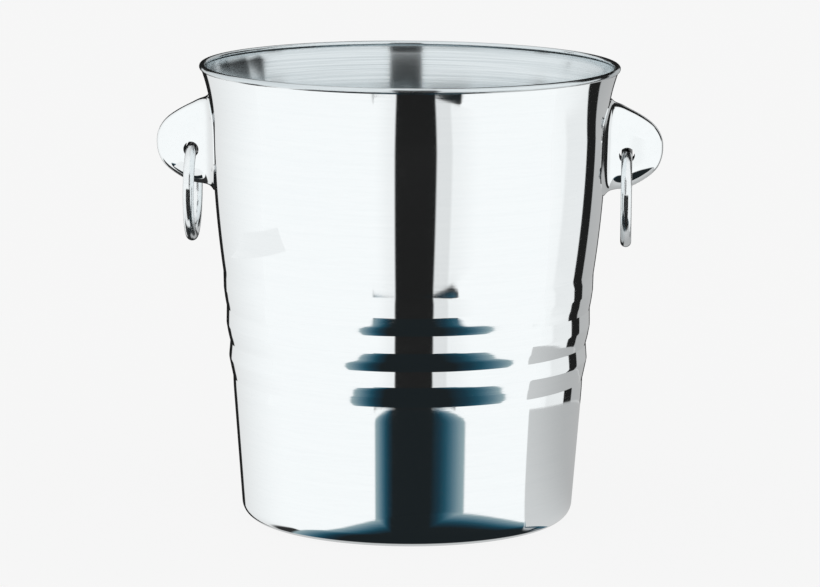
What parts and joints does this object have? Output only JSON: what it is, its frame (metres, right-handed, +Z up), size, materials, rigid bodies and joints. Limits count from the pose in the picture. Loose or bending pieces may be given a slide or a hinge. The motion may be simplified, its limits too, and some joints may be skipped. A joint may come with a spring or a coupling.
{
  "type": "champagne bucket",
  "caption": "Tall tapered metal bucket with rolled beads, a curled lip and a loose ring hanging from a cast ear on each side, for holding a bottle in ice.",
  "frame": {"origin": "middle of the base, on the surface that the bucket stands on", "axes": "+Z up along the bucket's own axis; +X towards the right ear, so the two ears are on the X axis; +Y across"},
  "size_m": [0.2412, 0.2, 0.218],
  "materials": {
    "polished_sheet": "mirror polished outside, satin brushed inside",
    "polished_casting": "polished casting",
    "polished_wire": "polished wire",
    "screw_steel": "plain stainless",
    "silicone": "matte"
  },
  "bodies": {
    "bucket": {"bucket_shell": "polished_sheet", "left_ear": "polished_casting", "right_ear": "polished_casting", "left_lower_screw": "screw_steel", "left_upper_screw": "screw_steel", "right_lower_screw": "screw_steel", "right_upper_screw": "screw_steel", "left_lower_washer": "silicone", "left_upper_washer": "silicone", "right_lower_washer": "silicone", "right_upper_washer": "silicone"},
    "left_ring": {"left_ring": "polished_wire"},
    "right_ring": {"right_ring": "polished_wire"}
  },
  "joints": [
    {"name": "left_ring_swing", "type": "hinge", "parent": "bucket", "child": "left_ring", "pos_m": [-0.1035, 0, 0.1765], "axis": [0, 1, 0], "range_deg": [-12, 175]},
    {"name": "right_ring_swing", "type": "hinge", "parent": "bucket", "child": "right_ring", "pos_m": [0.1035, 0, 0.1765], "axis": [0, -1, 0], "range_deg": [-12, 175]}
  ]
}
